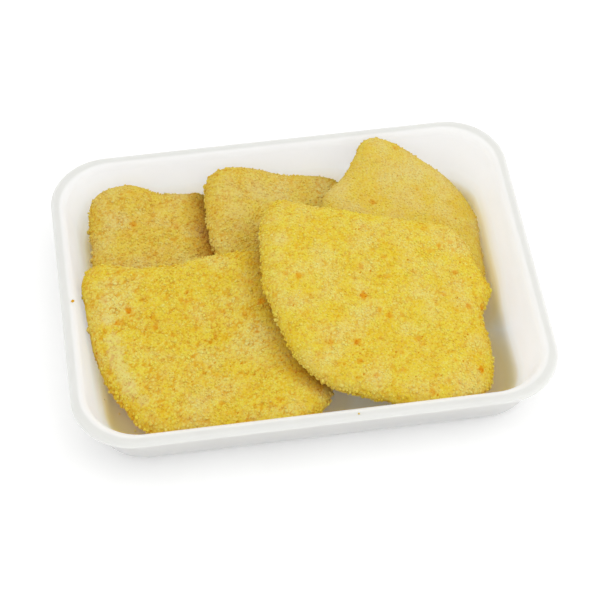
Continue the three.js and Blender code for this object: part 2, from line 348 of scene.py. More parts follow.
def tray_ring(inset, z):
    """One level ring of the tray, counter-clockwise from the front right corner, in millimetres."""
    radius = max(RIM_CORNER_RADIUS - CORNER_TAPER * inset, SMALLEST_CORNER)
    half_x, half_y = TRAY_LENGTH / 2 - inset - radius, TRAY_WIDTH / 2 - inset - radius
    centres = [(half_x, -half_y), (half_x, half_y), (-half_x, half_y), (-half_x, -half_y)]
    corners = []
    for quarter, (x, y) in enumerate(centres, start=-1):
        angles = [(quarter + step / CORNER_STEPS) * math.pi / 2 for step in range(CORNER_STEPS + 1)]
        corners.append([Vector((x + radius * math.cos(a), y + radius * math.sin(a), z)) for a in angles])
    ring = []
    for corner, following in zip(corners, corners[1:] + corners[:1]):
        ring += corner
        ring += [corner[-1].lerp(following[0], step / SIDE_STEPS) for step in range(1, SIDE_STEPS)]
    return ring


def tree_of(nodes):
    """A search tree of the faces of several solids."""
    shape = bmesh.new()
    for node in nodes:
        shape.from_mesh(node.data)
    tree = BVHTree.FromBMesh(shape)
    shape.free()
    return tree


food = tree_of(node for name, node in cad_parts.items() if name.startswith("schnitzel_"))


def nearest_food(place):
    return food.find_nearest(place)[3]


def bounce_and_shade_at(place):
    """How much painted bounce light and shade the food throws on the foam, from 0 to 1: most on the floor
    beside it, less up the walls.
    """
    height = place.z / MM
    up = min(max((height - FOAM_THICKNESS) / (BOUNCE_TOP - FOAM_THICKNESS), 0), 1)
    reach = BOUNCE_REACH_LOW + (BOUNCE_REACH_HIGH - BOUNCE_REACH_LOW) * up
    return (1 - up) * max(1 - nearest_food(place) / MM / reach, 0)


def make_tray():
    rings = [tray_ring(inset, z) for inset, z in tray_section()]
    shape = bmesh.new()
    loops = [[shape.verts.new(point * MM) for point in ring] for ring in rings]
    for lower, upper in zip(loops, loops[1:]):
        for i in range(len(lower)):
            j = (i + 1) % len(lower)
            shape.faces.new((lower[i], lower[j], upper[j], upper[i]))
    shape.faces.new(reversed(loops[0]))
    shape.faces.new(loops[-1])
    mesh = bpy.data.meshes.new("foam_tray_skin")
    shape.to_mesh(mesh)
    shape.free()
    mesh.shade_smooth()
    rim_turns_in = 3 * (FILLET_STEPS + 1) + 1  # this ring comes after three rounded corners and a point
    insides = [min(max((number - rim_turns_in) / FILLET_STEPS, 0), 1) for number in range(len(rings))]
    insides = [inside for inside in insides for _ in rings[0]]
    mesh.attributes.new("inside", "FLOAT", "POINT").data.foreach_set("value", insides)
    bounce_and_shade_values = [inside * bounce_and_shade_at(vertex.co) for inside, vertex in zip(insides, mesh.vertices)]
    mesh.attributes.new("stain", "FLOAT", "POINT").data.foreach_set("value", bounce_and_shade_values)
    return new_object(mesh.name, mesh)


# %% [markdown]
# ## Polystyrene foam
#
# Pressed foam has a closed, faintly satin skin over fine cells. The eye reads it by five things. The white is
# painted a little greyer on the rim and outside, greyer still low on the outside wall, and brightest inside:
# painted light and shade on one white foam. The sheen is broad and soft. The cells give it a grain, about
# half a millimetre each. It glows, because light passes through a wall only a few millimetres thick, and
# subsurface scattering carries that light. Beside the food the foam carries painted bounce light from the
# crust, cream up the walls, and painted shade, tan on the floor.

# %% Foam material
# Painted light and shade on one white foam: the rim painted greyer, the outer wall greyer still low down, the
# inside brightest.
RIM_SHADED_WHITES, FOOT_SHADED_WHITES, INNER_LIT_WHITES = ("dbdbd8", "dfdfdc"), ("d3d3d3", "d6d6d5"), ("fdfdfa", "fefefd")
FOOT_TOP, RIM_FOOT = 5 * MM, 25 * MM  # painted shade: the outer wall goes from the darker grey low down to the rim's grey between these heights
FLOOR_TOP, BEND_TOP = 5 * MM, 10 * MM  # the painted tan shade on the floor fades out between these
FOAM_CELL, CELL_DEPTH = 0.6 * MM, 0.04 * MM
CLOUD_SIZE, CLOUD_DEPTH = 18 * MM, 0.5 * MM  # the slow unevenness of the pressed sheet
LIGHT_DEPTH = 70 * MM  # how far light wanders inside the foam, right through a wall
PRESSED_LIGHT_DEPTH = 5 * MM  # in the denser skin outside


def foam_material():
    material, tree, shader, place = new_material("pressed polystyrene foam")
    height = add(tree, "ShaderNodeSeparateXYZ", {0: place}).outputs["Z"]
    grain = cells(tree, place, FOAM_CELL)["Distance"]
    clouds = noise(tree, place, CLOUD_SIZE)
    inside, stain = attribute(tree, "inside"), attribute(tree, "stain")
    whites = RIM_SHADED_WHITES, FOOT_SHADED_WHITES, INNER_LIT_WHITES
    rim, foot, inner = (blend_colours(tree, clouds, *pair) for pair in whites)
    outer = blend_colours(tree, spread(tree, height, FOOT_TOP, RIM_FOOT), foot, rim)
    colour = blend_colours(tree, inside, outer, inner)
    # Painted bounce light from the food: cream up the walls, and a warmer yellow where the food is nearer.
    colour = blend_colours(tree, spread(tree, stain, 0, 0.45), colour, "f9f0d4")
    colour = blend_colours(tree, spread(tree, stain, 0.4, 0.8), colour, "fbc568")
    # Painted shade on the floor beside the food, in tan.
    on_floor = times(tree, stain, spread(tree, height, FLOOR_TOP, BEND_TOP, 1, 0))
    colour = blend_colours(tree, spread(tree, on_floor, 0.4, 0.7), colour, "f5b03c")
    tree.links.new(colour, shader.inputs["Base Color"])
    # The foam glows less where the food's painted shade lies, so it comes out darker there.
    tree.links.new(spread(tree, stain, 0.5, 1, 1, 0.85), shader.inputs["Subsurface Weight"])
    depth = spread(tree, inside, 0, 1, PRESSED_LIGHT_DEPTH, LIGHT_DEPTH)
    tree.links.new(depth, shader.inputs["Subsurface Scale"])
    dents = maths(tree, "ADD", times(tree, grain, CELL_DEPTH), times(tree, clouds, CLOUD_DEPTH))
    bump(tree, dents, 0.5, 1.0)
    tree.links.new(spread(tree, clouds, 0.3, 0.7, 0.42, 0.55), shader.inputs["Roughness"])
    shader.inputs["IOR"].default_value = 1.5
    shader.inputs["Specular IOR Level"].default_value = 0.35
    shader.inputs["Subsurface Radius"].default_value = (1.0, 1.0, 0.95)
    return material


tray = make_tray()
tray.data.materials.append(foam_material())
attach(tray, "root")
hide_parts("foam_tray")
print("tray:", len(tray.data.polygons), "faces")


# %% [markdown]
# ## The cutlets
#
# Five cutlets of pork or chicken, beaten flat and breaded. A solid gives each its outline, its thickness and
# the way it bends over what lies under it, in some two thousand flat facets. A copy of it is the start of the
# crust. Its vertices are merged first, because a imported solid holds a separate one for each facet's corner.
# Subdivision rounds the facets off, and a voxel remesh then gives an even net of small squares, which relief
# can work on. Sculpting would do the same by hand, but it couldn't be run again.

# %% The cutlets' smooth cores
CUTLETS = ["back_left", "back_middle", "back_right", "front_left", "front_right"]
CORE_VOXEL = 0.7 * MM


def solid_of(cutlet):
    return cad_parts["schnitzel_" + cutlet]


def merged_copy(node, name):
    """A solid of the frame as one closed mesh in an object of its own."""
    shape = bmesh.new()
    shape.from_mesh(node.data)
    bmesh.ops.remove_doubles(shape, verts=shape.verts, dist=0.01 * MM)
    shape.verts.index_update()
    mesh = bpy.data.meshes.new(name)
    corners = [[corner.index for corner in face.verts] for face in shape.faces]
    mesh.from_pydata([corner.co.copy() for corner in shape.verts], [], corners)
    shape.free()
    return new_object(name, mesh)


def apply_modifiers(piece):
    """Turns what the modifiers make into the piece's own plain mesh."""
    evaluated = piece.evaluated_get(bpy.context.evaluated_depsgraph_get())
    mesh = bpy.data.meshes.new_from_object(evaluated)
    piece.modifiers.clear()
    piece.data = mesh


def make_core(cutlet):
    core = merged_copy(solid_of(cutlet), "crust_" + cutlet)
    rounding = core.modifiers.new("rounding", "SUBSURF")
    rounding.levels = rounding.render_levels = 2
    net = core.modifiers.new("even net", "REMESH")
    net.mode = "VOXEL"
    net.voxel_size = CORE_VOXEL
    net.use_smooth_shade = True
    apply_modifiers(core)
    return core


cores = {cutlet: make_core(cutlet) for cutlet in CUTLETS}
print("cores:", {cutlet: len(core.data.polygons) for cutlet, core in cores.items()})


# %% [markdown]
# ## Marks on the crust
#
# Two kinds of mark lie where they lie by chance, and are listed one by one. Toasted crumbs give orange spots
# one to three millimetres wide. Where a cutlet has been rubbed, its crumb is thin and the pale flour coat
# shows.
# Each mark is a vertex that holds two numbers, how far it reaches and how strong it is, and Geometry Nodes
# look up the nearest one. Its height comes from a ray straight down onto the solid. Painting the marks on
# an image would need a flat map of the crust, and would blur at the first close look.

# %% Toasted and rubbed marks
TOASTED = {  # x and y in millimetres, then how strong
    "front_right": [
        (77.5, -60, 1), (-0.3, -7.3, 0.8), (28.8, -18.9, 1), (29.8, -3.5, 0.6), (21.4, -43.1, 0.9),
        (21.3, -53.5, 0.6), (39, -29.8, 0.7), (34.9, -26.7, 0.6), (9.4, -43.1, 0.6), (1.2, -35.3, 0.3),
        (41.2, -50, 0.5), (50.3, -42.6, 0.6), (28, -61.3, 0.5), (41.5, 0.6, 0.5), (41.1, -9.1, 0.5),
        (69.2, 7.2, 0.6), (64.5, 4.2, 0.4), (75.3, 9.5, 0.5), (76.2, 5.1, 0.5), (74.3, -8, 0.6),
        (72.2, -18.1, 0.3), (66.5, -19.2, 0.6), (77.8, -25.7, 0.7), (84.9, -24.1, 0.8), (82.8, -29.8, 0.6),
        (35.8, -44.6, 0.3), (40.5, -59.4, 0.5), (65.9, -55.6, 0.4), (65.4, -67.2, 0.4), (52.1, -71.7, 0.6),
        (-5.2, -19.4, 0.3), (-13.2, -15.5, 0.4), (1.6, -35.3, 0.4), (33.8, 18.1, 0.4), (-6.4, -6, 0.5),
    ],
    "front_left": [
        (-18.9, -9.9, 0.9), (-81.5, -5.2, 0.9), (-86.8, -11.1, 0.7), (-69.9, -15.6, 0.7), (-93.6, -34.5, 0.5),
        (-55.7, -3.7, 0.6), (-53.9, -4.9, 0.6), (-46.2, -7.4, 0.5), (-51.5, -4.2, 0.5), (-52.8, 0.1, 0.4),
        (-49.8, -8.5, 0.4), (-50.2, -13.6, 0.4), (-62.8, -1.6, 0.4), (-88.3, 9, 0.5), (-92.4, 4, 0.4),
        (-34.1, -9, 0.4), (-30.3, -6.8, 0.4), (-22.4, 0.4, 0.5), (-27.1, -14.7, 0.6), (-33, -21, 0.4),
        (-42.6, -31.1, 0.4), (-44.4, -45.4, 0.4), (-71.8, -49.5, 0.5), (-71.4, -54.2, 0.4),
        (-48.9, -56.1, 0.4),
    ],
    "back_left": [
        (-73.9, 51.5, 0.8), (-73.2, 69.6, 0.4), (-64.1, 64, 0.4), (-47.5, 64, 0.4), (-53, 48.5, 0.5),
        (-63.9, 55, 0.4),
    ],
    "back_middle": [(19.3, 66.2, 0.4)],
    "back_right": [(43.1, 40.9, 0.7), (59.3, 72.6, 0.5)],
}
RUBBED = {  # x, y and reach in millimetres, then how strong
    "front_left": [
        (-93.2, 9.4, 3, 0.5), (-92.1, 1.3, 3, 0.6), (-91.3, -9.2, 3.5, 0.6), (-90.1, -19.3, 4.5, 0.9),
        (-89.8, -25, 5, 1), (-89.8, -29.9, 5, 1), (-88, -34.5, 5, 1), (-87.2, -39.3, 4.5, 1),
        (-86, -44, 4.5, 1), (-84, -48, 4, 0.8), (-79.6, -52.7, 4, 0.9), (-58, -54.5, 2.5, 0.4),
    ],
    "front_right": [
        (-10, 4, 5, 0.5), (-11, -6, 4.5, 0.4), (-6, 13, 5, 0.5), (6, 22, 4.5, 0.4), (23, 21, 4.5, 0.4),
        (42, 19, 4, 0.3),
    ],
    "back_middle": [
        (-26, 60, 9, 0.5), (-23, 49, 9, 0.6), (-20, 40, 6, 0.4), (-12, 66, 8, 0.5), (-9, 56, 7, 0.3),
    ],
}
TOASTED_REACH = 1.8  # millimetres, of a strong mark
STRAY_STRONGEST = 0.35
STRAY_EVERY = 90  # square millimetres of a cutlet for each faint mark left to chance


def marks_object(cutlet, kind, marks, tree):
    """Marks of (x, y, reach, strength) in millimetres, as loose vertices on the cutlet's solid."""
    places, reaches, strengths = [], [], []
    for x, y, reach, strength in marks:
        hit = tree.ray_cast(Vector((x * MM, y * MM, 1)), -UP)[0]
        if hit is not None:
            places.append(hit)
            reaches.append(reach * MM)
            strengths.append(strength)
    mesh = bpy.data.meshes.new(f"{kind} marks {cutlet}")
    mesh.from_pydata(places, [], [])
    mesh.attributes.new("reach", "FLOAT", "POINT").data.foreach_set("value", reaches)
    mesh.attributes.new("strength", "FLOAT", "POINT").data.foreach_set("value", strengths)
    return new_object(mesh.name, mesh)


def make_marks(cutlet):
    core = cores[cutlet].data
    tree = BVHTree.FromPolygons([v.co for v in core.vertices], [p.vertices for p in core.polygons])
    low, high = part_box("schnitzel_" + cutlet)
    chance = random.Random("stray marks " + cutlet)
    toasted = [(x, y, TOASTED_REACH * (0.6 + 0.6 * share), share) for x, y, share in TOASTED[cutlet]]
    for _ in range(round((high.x - low.x) * (high.y - low.y) / MM**2 / STRAY_EVERY)):
        x, y = chance.uniform(low.x, high.x) / MM, chance.uniform(low.y, high.y) / MM
        toasted.append((x, y, chance.uniform(0.7, 1.6), chance.uniform(0.1, STRAY_STRONGEST)))
    return {
        "toasted": marks_object(cutlet, "toasted", toasted, tree),
        "rubbed": marks_object(cutlet, "rubbed", RUBBED.get(cutlet, []), tree),
    }


marks = {cutlet: make_marks(cutlet) for cutlet in CUTLETS}
print("toasted marks:", {cutlet: len(kinds["toasted"].data.vertices) for cutlet, kinds in marks.items()})


# %% [markdown]
# ## The crust's relief
#
# Breadcrumb doesn't stick evenly. It clumps over a few millimetres, and leaves pinholes where the coat under
# it shows. Geometry Nodes move each point of the core along its normal and keep what they know about it in
# named attributes: toasted, rubbed, gap, pinhole, a painted shadow beside a cutlet that covers it from the
# light on the right, and hidden, which is 1 where something lies against the surface. The crumbs and the
# materials read these later. A Displace modifier could move the points too, but it would leave nothing behind
# for the colours to follow.

# %% Tools for a Geometry Nodes tree
def new_tree(name, sockets):
    """A Geometry Nodes tree with a Geometry input and output and the named inputs given."""
    tree = bpy.data.node_groups.new(name, "GeometryNodeTree")
    tree.interface.new_socket("Geometry", in_out="INPUT", socket_type="NodeSocketGeometry")
    tree.interface.new_socket("Geometry", in_out="OUTPUT", socket_type="NodeSocketGeometry")
    for label, kind in sockets.items():
        tree.interface.new_socket(label, in_out="INPUT", socket_type="NodeSocket" + kind)
    given = tree.nodes.new("NodeGroupInput").outputs
    tree.nodes.new("NodeGroupOutput")
    return tree, given


def use_tree(piece, tree, values):
    """Puts the tree on the piece as a modifier, sets its inputs and keeps the result as a plain mesh."""
    modifier = piece.modifiers.new(tree.name, "NODES")
    modifier.node_group = tree
    for item in tree.interface.items_tree:
        if item.in_out == "INPUT" and item.name in values:
            modifier[item.identifier] = values[item.name]
    apply_modifiers(piece)


def named(tree, name, kind="FLOAT"):
    return add(tree, "GeometryNodeInputNamedAttribute", {"Name": name}, data_type=kind).outputs["Attribute"]


def keep(tree, geometry, name, value, domain="POINT", kind="FLOAT"):
    """Stores a value on the geometry under a name, and gives the geometry on."""
    node = add(tree, "GeometryNodeStoreNamedAttribute", {"Geometry": geometry, "Name": name}, data_type=kind,
               domain=domain)
    tree.links.new(value, node.inputs["Value"])
    return node.outputs[0]


# %% The relief's tree
RELIEF_SIZES = {
    "Swell Size": 13 * MM,
    "Swell Height": 1.1 * MM,  # the meat's own unevenness
    "Clump Size": 2.3 * MM,
    "Clump Height": 0.5 * MM,
    "Pinhole Size": 1.7 * MM,
    "Pinhole Depth": 0.25 * MM,
    "Pinhole Patches": 9 * MM,  # how wide a patch with many pinholes is
    "Hidden Within": 6 * MM,  # a surface with something this near in front of it isn't seen
    "Damp Within": 14 * MM,  # painted shadow reaches this far from a cutlet that covers the crumb from the light
}
CLUMPINESS = {"front_left": 1, "front_right": 0.7, "back_left": 0.9, "back_middle": 0.8, "back_right": 0.3}
WARP_SIZE = 2 * MM  # of the wander that keeps the clumps from having straight sides
THIN_PATCH, THIN_SPOT = 5 * MM, 2 * MM  # gaps between clumps open more in some patches and spots than others
GAP_DEPTH = 0.6  # as a share of the clumps' height
SHADOW_RAY_SIDE = (0.94, -0.1, 0.3)  # towards the panel light on the right, where a covering cutlet casts the painted shadow
SHADOW_FADING = 1.5
CONTACT_SHADE_NEXT_TO, CONTACT_SHADE_TOUCHING = 4 * MM, 0.5  # any neighbour this near paints shade on the crumb, this much at the most
RAGGED_SIZE = 1.6 * MM  # of the bays in a mark's edge
ROUND_SIDE, LYING_FLAT = 0.3, 0.85  # how far up the normal points, on a side and on what lies flat
SIDES_LUMPIER = 1.8
PRESSED_RELIEF = 0.4  # the share of the relief that is left where something lies against the crust
RAY_START = 0.3 * MM  # a ray starts this far off the surface, so it doesn't strike that itself


def on_sides(tree, normal, most):
    """A factor that is 1 on what lies flat and more round the sides, where nothing has pressed the crumb."""
    level = add(tree, "ShaderNodeSeparateXYZ", {0: normal}).outputs["Z"]
    return spread(tree, level, ROUND_SIDE, LYING_FLAT, most, 1)


def mark_share(tree, marks_socket, place):
    """How much the nearest mark colours each point, from 0 to its strength."""
    found = add(tree, "GeometryNodeObjectInfo", {"Object": marks_socket}).outputs["Geometry"]
    nearest = add(tree, "GeometryNodeSampleNearest", {"Geometry": found}).outputs[0]

    def of_nearest(value, kind):
        node = add(tree, "GeometryNodeSampleIndex", {"Geometry": found, "Index": nearest}, data_type=kind)
        tree.links.new(value, node.inputs["Value"])
        return node.outputs[0]

    centre = of_nearest(add(tree, "GeometryNodeInputPosition").outputs[0], "FLOAT_VECTOR")
    distance = vectors(tree, "DISTANCE", place, centre)
    ragged = times(tree, distance, spread(tree, noise(tree, place, RAGGED_SIZE), 0.3, 0.7, 0.6, 1.5))
    reach = maths(tree, "MAXIMUM", of_nearest(named(tree, "reach"), "FLOAT"), 0.01 * MM)
    share = spread(tree, maths(tree, "DIVIDE", ragged, reach), 0.6, 1.05, 1, 0)
    return times(tree, share, of_nearest(named(tree, "strength"), "FLOAT"))


def relief_tree():
    sockets = dict.fromkeys(("Toasted", "Rubbed", "Other Cutlets", "Tray"), "Object")
    sockets |= dict.fromkeys([*RELIEF_SIZES, "Clumpiness"], "Float")
    tree, given = new_tree("crust relief", sockets)
    place = add(tree, "GeometryNodeInputPosition").outputs[0]
    normal = add(tree, "GeometryNodeInputNormal").outputs[0]

    wander = add(tree, "ShaderNodeTexNoise", {"Vector": place, "Scale": 1 / WARP_SIZE}).outputs["Color"]
    wander = scaled(tree, vectors(tree, "SUBTRACT", wander, (0.5, 0.5, 0.5)), given["Clump Size"])
    warped = vectors(tree, "ADD", place, wander)
    to_edge = cells(tree, warped, given["Clump Size"], feature="DISTANCE_TO_EDGE")["Distance"]
    thin = times(tree, spread(tree, noise(tree, place, THIN_PATCH), 0.36, 0.6, 0.3, 1), given["Clumpiness"])
    thin = times(tree, spread(tree, noise(tree, place, THIN_SPOT), 0.4, 0.56, 0.1, 1), thin)
    gap = times(tree, spread(tree, to_edge, 0.03, 0.22, 1, 0), thin)
    toasted = mark_share(tree, given["Toasted"], place)
    rubbed = mark_share(tree, given["Rubbed"], place)
    holes = cells(tree, place, given["Pinhole Size"])
    lot = add(tree, "FunctionNodeSeparateColor", {0: holes["Color"]}).outputs[0]
    patches = noise(tree, place, given["Pinhole Patches"])
    chosen = maths(tree, "GREATER_THAN", lot, spread(tree, patches, 0.5, 0.7, 0.998, 0.87))
    pinhole = times(tree, spread(tree, holes["Distance"], 0.16, 0.4, 1, 0), chosen)
    pinhole = times(tree, pinhole, maths(tree, "SUBTRACT", 1, rubbed))

    others = add(tree, "GeometryNodeObjectInfo", {"Object": given["Other Cutlets"]}).outputs["Geometry"]
    tray_skin = add(tree, "GeometryNodeObjectInfo", {"Object": given["Tray"]}).outputs["Geometry"]
    # Painted shadow: a ray towards the light on the right finds a cutlet that shades the point, and a
    # neighbour close by adds painted contact shade.
    inputs = {"Target Geometry": others, "Source Position": place, "Ray Direction": SHADOW_RAY_SIDE}
    covered = add(tree, "GeometryNodeRaycast", inputs | {"Ray Length": given["Damp Within"]}).outputs
    damp = spread(tree, covered["Hit Distance"], 0, given["Damp Within"], 1, 0)
    damp = times(tree, maths(tree, "POWER", damp, SHADOW_FADING), covered["Is Hit"])
    near = add(tree, "GeometryNodeProximity", {"Geometry": others}).outputs["Distance"]
    damp = maths(tree, "MAXIMUM", damp, spread(tree, near, 0, CONTACT_SHADE_NEXT_TO, CONTACT_SHADE_TOUCHING, 0))
    around = add(tree, "GeometryNodeJoinGeometry")
    tree.links.new(others, around.inputs[0])
    tree.links.new(tray_skin, around.inputs[0])
    start = vectors(tree, "ADD", place, scaled(tree, normal, RAY_START))
    inputs = {"Target Geometry": around.outputs[0], "Source Position": start, "Ray Direction": normal}
    ray = add(tree, "GeometryNodeRaycast", inputs | {"Ray Length": given["Hidden Within"]})
    hidden = times(tree, ray.outputs["Is Hit"], 1)

    swell = noise(tree, place, given["Swell Size"])
    swells = times(tree, maths(tree, "SUBTRACT", swell, 0.5), given["Swell Height"])
    domes = times(tree, spread(tree, to_edge, 0, 0.4, -0.3, 0.3), given["Clumpiness"])
    lumps = times(tree, maths(tree, "SUBTRACT", domes, times(tree, gap, GAP_DEPTH)), given["Clump Height"])
    lumps = times(tree, lumps, on_sides(tree, normal, SIDES_LUMPIER))
    rise = maths(tree, "ADD", swells, lumps)
    rise = maths(tree, "SUBTRACT", rise, times(tree, pinhole, given["Pinhole Depth"]))
    shift = scaled(tree, normal, times(tree, rise, spread(tree, hidden, 0, 1, 1, PRESSED_RELIEF)))

    geometry = given["Geometry"]
    kept = {"toasted": toasted, "rubbed": rubbed, "gap": gap, "pinhole": pinhole}
    for name, value in (kept | {"hidden": hidden, "damp": damp}).items():
        geometry = keep(tree, geometry, name, value)
    moved = add(tree, "GeometryNodeSetPosition", {"Geometry": geometry, "Offset": shift}).outputs[0]
    tree.links.new(moved, tree.nodes["Group Output"].inputs[0])
    return tree


# %% [markdown]
# A ray from each point along its normal tells whether a neighbour hides it. The neighbours are the tray's
# skin and the solids of the other cutlets, which are joined into one mesh that is deleted afterwards.

# %% Raise the relief
def others_than(cutlet):
    shape = bmesh.new()
    for other in CUTLETS:
        if other != cutlet:
            shape.from_mesh(solid_of(other).data)
    mesh = bpy.data.meshes.new("others than " + cutlet)
    shape.to_mesh(mesh)
    shape.free()
    return new_object(mesh.name, mesh)


def raise_relief():
    tree = relief_tree()
    for cutlet, core in cores.items():
        others = others_than(cutlet)
        use_tree(core, tree, RELIEF_SIZES | {
            "Clumpiness": CLUMPINESS[cutlet],
            "Toasted": marks[cutlet]["toasted"],
            "Rubbed": marks[cutlet]["rubbed"],
            "Other Cutlets": others,
            "Tray": tray,
        })
        for helper in (others, *marks[cutlet].values()):
            bpy.data.objects.remove(helper)


raise_relief()
for cutlet, core in cores.items():
    values = [0.0] * len(core.data.vertices)
    core.data.attributes["hidden"].data.foreach_get("value", values)
    print(f"{cutlet}: {sum(values) / len(values):.0%} of the crust is hidden")


# %% [markdown]
# ## Breadcrumbs
#
# Fine dry crumb, sieved to about a millimetre, is what the eye sees first: an uneven coat of small angular
# grains, some proud and some sunk, that glitter with light and shade. Each grain is real geometry here, so
# the coat holds up from the side, where bump in a material wouldn't. A few kinds of grain with twenty flat
# faces each are scattered over the core, turned and scaled at random. A particle system could scatter them
# too, but the nodes can thin them out by the attributes that the relief left.

# %% A few kinds of crumb
CRUMB_KINDS = 7
CRUMB_ACROSS = 1.5 * MM
CRUMB_STRETCH = Vector((1.15, 0.95, 0.85))
CRUMB_JITTER = 0.78, 1.25  # how far its corners move in or out


def make_crumb_kinds():
    kinds = bpy.data.collections.new("kinds of crumb")
    chance = random.Random("kinds of crumb")
    for number in range(CRUMB_KINDS):
        shape = bmesh.new()
        bmesh.ops.create_icosphere(shape, subdivisions=1, radius=CRUMB_ACROSS / 2)
        for corner in shape.verts:
            corner.co = corner.co * CRUMB_STRETCH * chance.uniform(*CRUMB_JITTER)
        mesh = bpy.data.meshes.new(f"crumb {number}")
        shape.to_mesh(mesh)
        shape.free()
        kinds.objects.link(bpy.data.objects.new(mesh.name, mesh))
    return kinds


crumb_kinds = make_crumb_kinds()


# %% [markdown]
# A crumb is placed by its top, which stands a chosen height over the batter, however large the crumb is. If
# its middle were placed instead, the small ones would sink until a mere tip was left, a dark dot among the
# others. Once the crumbs are real mesh, each of their points also learns its own height over the batter,
# which the material uses for painted shade: brown low down, in the crevices between the crumbs.

# %% The coat's tree
CRUMB_SPACING = 1.27 * MM
CRUMB_SMALLEST, CRUMB_LARGEST = 0.6, 1.6  # as shares of the middling crumb
CRUMB_LOWEST, CRUMB_PROUDEST = 0.15 * MM, 0.85 * MM  # how far a crumb's top stands over the batter
SMOOTH_CRUST_PROUD = 0.35  # the share of that height left on a crust without clumps
FEW_LARGE = 1.6  # a power that makes small and low crumbs outnumber large and proud ones
CRUMB_OUT = 0.45  # no crumb's middle is further out than this share of its radius, or it would float
SIDES_PROUDER, SIDES_COARSER = 2.0, 1.25
CRUMBS_LEFT = {  # between two values of a mark the crumbs thin out to this share
    "hidden": (0, 1, 0.15),
    "rubbed": (0, 1, 0.85),
    "pinhole": (0.15, 0.6, 0.3),
    "gap": (0.3, 0.8, 0.1),
}


def random_number(tree, low, high, seed):
    node = add(tree, "FunctionNodeRandomValue", {2: low, 3: high, "Seed": seed}, data_type="FLOAT")
    return node.outputs[1]


def sown(tree, points, crumbs, size, material):
    """Crumbs of random kind, turn, size and tone on the points, as one mesh. It links the tree's output."""
    kinds = add(tree, "GeometryNodeCollectionInfo",
                {"Collection": crumbs, "Separate Children": True, "Reset Children": True})
    kind = add(tree, "FunctionNodeRandomValue", {4: 0, 5: CRUMB_KINDS - 1, "Seed": 2}, data_type="INT")
    turns = {axis: random_number(tree, 0, math.tau, 3 + axis) for axis in range(3)}
    turn = add(tree, "ShaderNodeCombineXYZ", turns).outputs[0]
    placed = add(tree, "GeometryNodeInstanceOnPoints", {
        "Points": points, "Instance": kinds.outputs[0], "Pick Instance": True,
        "Instance Index": kind.outputs[2], "Rotation": turn, "Scale": size,
    })
    toned = keep(tree, placed.outputs[0], "tone", random_number(tree, 0, 1, 7), "INSTANCE")
    real = add(tree, "GeometryNodeRealizeInstances", {"Geometry": toned})
    place = add(tree, "GeometryNodeInputPosition").outputs[0]
    from_foot = vectors(tree, "SUBTRACT", place, named(tree, "foot", "FLOAT_VECTOR"))
    height = vectors(tree, "DOT_PRODUCT", from_foot, named(tree, "upright", "FLOAT_VECTOR"))
    measured = keep(tree, real.outputs[0], "height", height)
    for done_with in ("foot", "upright"):
        removal = add(tree, "GeometryNodeRemoveAttribute", {"Geometry": measured, "Name": done_with})
        measured = removal.outputs[0]
    painted = add(tree, "GeometryNodeSetMaterial", {"Geometry": measured, "Material": material})
    tree.links.new(painted.outputs[0], tree.nodes["Group Output"].inputs[0])


def coat_tree():
    sockets = {"Crumbs": "Collection", "Seed": "Int", "Material": "Material"}
    sockets |= dict.fromkeys(("Spacing", "Smallest", "Largest", "Lowest", "Proudest"), "Float")
    tree, given = new_tree("crumb coat", sockets)
    cover = 1.0
    for mark, (low, high, left) in CRUMBS_LEFT.items():
        cover = times(tree, cover, spread(tree, named(tree, mark), low, high, 1, left))
    most = maths(tree, "DIVIDE", 3, times(tree, given["Spacing"], given["Spacing"]))
    scatter = add(tree, "GeometryNodeDistributePointsOnFaces", {
        "Mesh": given["Geometry"], "Distance Min": given["Spacing"], "Density Max": most,
        "Density Factor": cover, "Seed": given["Seed"],
    }, distribute_method="POISSON")
    normal = scatter.outputs["Normal"]
    few_large = maths(tree, "POWER", random_number(tree, 0, 1, 6), FEW_LARGE)
    size = spread(tree, few_large, 0, 1, given["Smallest"], given["Largest"])
    size = times(tree, size, on_sides(tree, normal, SIDES_COARSER))
    few_proud = maths(tree, "POWER", random_number(tree, 0, 1, 1), FEW_LARGE)
    top = spread(tree, few_proud, 0, 1, given["Lowest"], given["Proudest"])
    top = times(tree, top, on_sides(tree, normal, SIDES_PROUDER))
    radius = times(tree, size, CRUMB_ACROSS / 2)
    height = maths(tree, "MINIMUM", maths(tree, "SUBTRACT", top, radius), times(tree, radius, CRUMB_OUT))
    foot = add(tree, "GeometryNodeInputPosition").outputs[0]
    rooted = keep(tree, scatter.outputs[0], "foot", foot, kind="FLOAT_VECTOR")
    rooted = keep(tree, rooted, "upright", normal, kind="FLOAT_VECTOR")
    inputs = {"Geometry": rooted, "Offset": scaled(tree, normal, height)}
    points = add(tree, "GeometryNodeSetPosition", inputs)
    sown(tree, points.outputs[0], given["Crumbs"], size, given["Material"])
    return tree


# %% [markdown]
# ## The crumb's colours
#
# Yellow breadcrumb is baked bread, dried, ground and tinted, so it is matt and faintly translucent, with
# hardly any gloss. Its colour wanders: pale grains beside golden ones, and patches a few millimetres wide
# that lean one way. Toasted grains are orange. Shade is painted into the colour too: a dark brown painted
# shadow beside a neighbour that covers the crumb from the light, brown in the gaps between clumps, partly the
# darker coat showing and partly painted shade, and brown low on the grains as painted shade in the crevices.
# The batter under the crumb is darker, and shows brown in each pinhole. The two cutlets in front carry a
# fresher, brighter crumb than the three behind, so both materials come from one function and two sets of
# colours.

